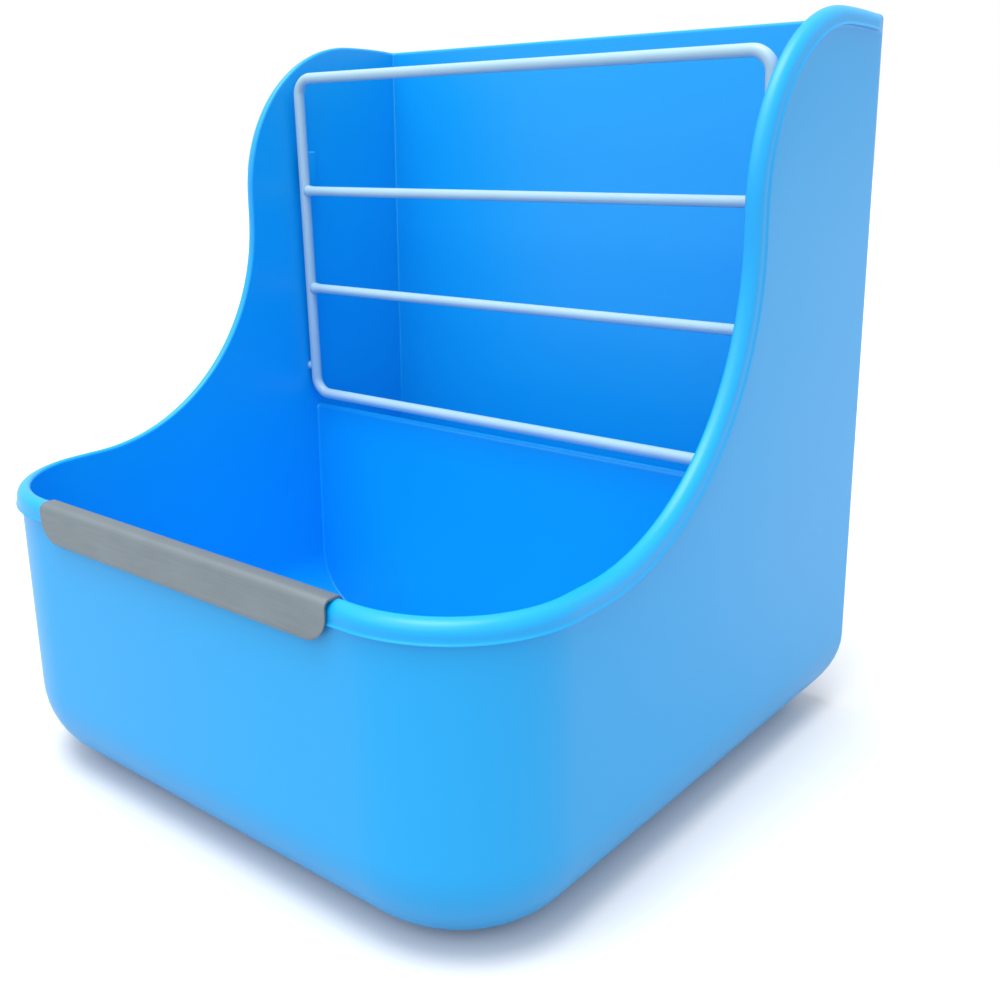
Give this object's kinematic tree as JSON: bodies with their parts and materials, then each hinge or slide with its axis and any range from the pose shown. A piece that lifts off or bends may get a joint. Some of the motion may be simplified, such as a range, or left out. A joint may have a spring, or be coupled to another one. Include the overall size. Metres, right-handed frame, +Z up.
{
  "type": "hanging rabbit feeder",
  "caption": "Hanging rabbit feeder: moulded tub with a food trough, a hay bay behind a swing-down wire rack, a steel chew guard on the front rim and wire hooks on the back.",
  "frame": {"origin": "on the floor, at the centre of the space that the feeder takes up", "axes": "+X across to the right, -Y to the front where the animal feeds, +Y to the cage wall, +Z up"},
  "size_m": [0.145, 0.15, 0.16],
  "materials": {
    "moulded_plastic": "glossy moulded polypropylene, sky blue",
    "coated_wire": "pale grey-white coating on steel wire",
    "guard_steel": "satin folded steel strip",
    "zinc_wire": "zinc-plated steel wire"
  },
  "bodies": {
    "tub": {"tub": "moulded_plastic", "chew_guard": "guard_steel"},
    "rack": {"rack_frame": "coated_wire", "rack_bar_lower": "coated_wire", "rack_bar_upper": "coated_wire", "rack_pivot_left": "coated_wire", "rack_pivot_right": "coated_wire"},
    "left_hook": {"cage_hook_left": "zinc_wire"},
    "right_hook": {"cage_hook_right": "zinc_wire"}
  },
  "joints": [
    {"name": "rack_swing", "type": "hinge", "parent": "tub", "child": "rack", "pos_m": [0, 0.0298, 0.07299], "axis": [1, 0, 0], "range_deg": [0, 85]},
    {"name": "left_hook_turn", "type": "hinge", "parent": "tub", "child": "left_hook", "pos_m": [-0.042, 0.0727, 0.12805], "axis": [0, 0, 1], "range_deg": [0, 180]},
    {"name": "right_hook_turn", "type": "hinge", "parent": "tub", "child": "right_hook", "pos_m": [0.042, 0.0727, 0.12805], "axis": [0, 0, -1], "range_deg": [0, 180]}
  ]
}
